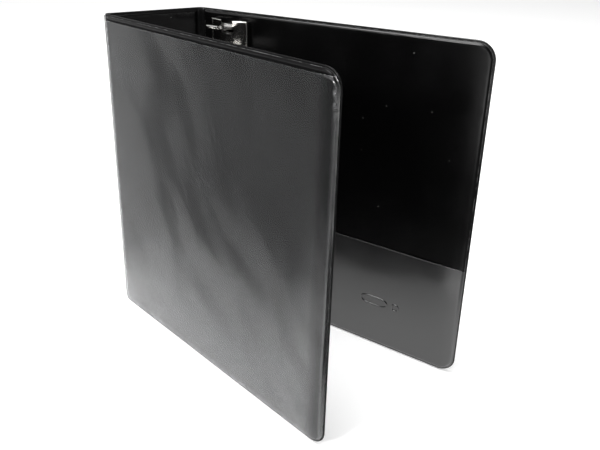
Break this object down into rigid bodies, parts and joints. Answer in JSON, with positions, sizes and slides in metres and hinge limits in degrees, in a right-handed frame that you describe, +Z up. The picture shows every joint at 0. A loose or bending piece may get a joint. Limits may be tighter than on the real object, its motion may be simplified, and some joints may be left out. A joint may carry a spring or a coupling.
{
  "type": "ring binder",
  "caption": "Vinyl view binder on its feet, half open, with clear overlay pockets and lever-operated D-rings on the back cover.",
  "frame": {"origin": "middle of the spine's foot, on the surface the binder stands on, midway between the two hinge lines", "axes": "+Z up along the spine from foot to head, +X along the spine's width from the front cover's hinge to the back cover's hinge, -Y towards the covers' fore-edges"},
  "size_m": [0.2234, 0.2801, 0.298],
  "materials": {
    "chipboard": "grey-brown pressed board",
    "vinyl": "black vinyl, fine grain",
    "vinyl_hinge": "black vinyl, pressed smooth",
    "film": "clear soft film",
    "pocket_vinyl": "black vinyl, soft sheen",
    "housing_plate": "bright nickel plate",
    "rivet_plate": "bright nickel plate",
    "pin_steel": "turned steel",
    "blade_steel": "rolled spring steel",
    "ring_plate": "bright nickel plate",
    "lever_plate": "bright nickel plate"
  },
  "bodies": {
    "spine": {"spine_board": "chipboard", "spine_outer_skin": "vinyl", "spine_inner_skin": "vinyl", "spine_overlay": "film", "front_hinge_seam": "vinyl_hinge", "back_hinge_seam": "vinyl_hinge"},
    "front_cover": {"front_board": "chipboard", "front_outer_skin": "vinyl", "front_inner_skin": "vinyl", "front_overlay": "film", "front_pocket": "pocket_vinyl", "front_hinge_band": "vinyl_hinge"},
    "back_cover": {"back_board": "chipboard", "back_outer_skin": "vinyl", "back_inner_skin": "vinyl", "back_overlay": "film", "back_pocket": "pocket_vinyl", "back_hinge_band": "vinyl_hinge", "housing": "housing_plate", "top_rivet": "rivet_plate", "bottom_rivet": "rivet_plate", "top_lever_pin": "pin_steel", "bottom_lever_pin": "pin_steel"},
    "arc_half": {"arc_blade": "blade_steel", "bottom_ring_arc": "ring_plate", "middle_ring_arc": "ring_plate", "top_ring_arc": "ring_plate"},
    "post_half": {"post_blade": "blade_steel", "bottom_ring_post": "ring_plate", "middle_ring_post": "ring_plate", "top_ring_post": "ring_plate"},
    "top_lever": {"top_lever": "lever_plate"},
    "bottom_lever": {"bottom_lever": "lever_plate"}
  },
  "joints": [
    {"name": "front_hinge", "type": "hinge", "parent": "spine", "child": "front_cover", "pos_m": [-0.0475, 0, 0.149], "axis": [0, 0, -1], "range_deg": [0, 104]},
    {"name": "back_hinge", "type": "hinge", "parent": "spine", "child": "back_cover", "pos_m": [0.0475, 0, 0.149], "axis": [0, 0, 1], "range_deg": [-26, 64]},
    {"name": "post_half_turn", "type": "hinge", "parent": "back_cover", "child": "post_half", "pos_m": [0.06862, -0.05334, 0.149], "axis": [0, 0, 1], "range_deg": [0, 9]},
    {"name": "arc_half_turn", "type": "hinge", "parent": "back_cover", "child": "arc_half", "pos_m": [0.05266, -0.02062, 0.149], "axis": [0, 0, -1], "range_deg": [0, 9]},
    {"name": "top_lever_turn", "type": "hinge", "parent": "back_cover", "child": "top_lever", "pos_m": [0.05992, -0.03733, 0.284], "axis": [-0.4384, 0.8988, 0], "range_deg": [0, 30]},
    {"name": "bottom_lever_turn", "type": "hinge", "parent": "back_cover", "child": "bottom_lever", "pos_m": [0.05992, -0.03733, 0.014], "axis": [0.4384, -0.8988, 0], "range_deg": [0, 30]}
  ],
  "couplings": [
    {"joint": "arc_half_turn", "follows": "post_half_turn", "ratio": 1},
    {"joint": "top_lever_turn", "follows": "post_half_turn", "ratio": 3.3333},
    {"joint": "bottom_lever_turn", "follows": "post_half_turn", "ratio": 3.3333}
  ]
}
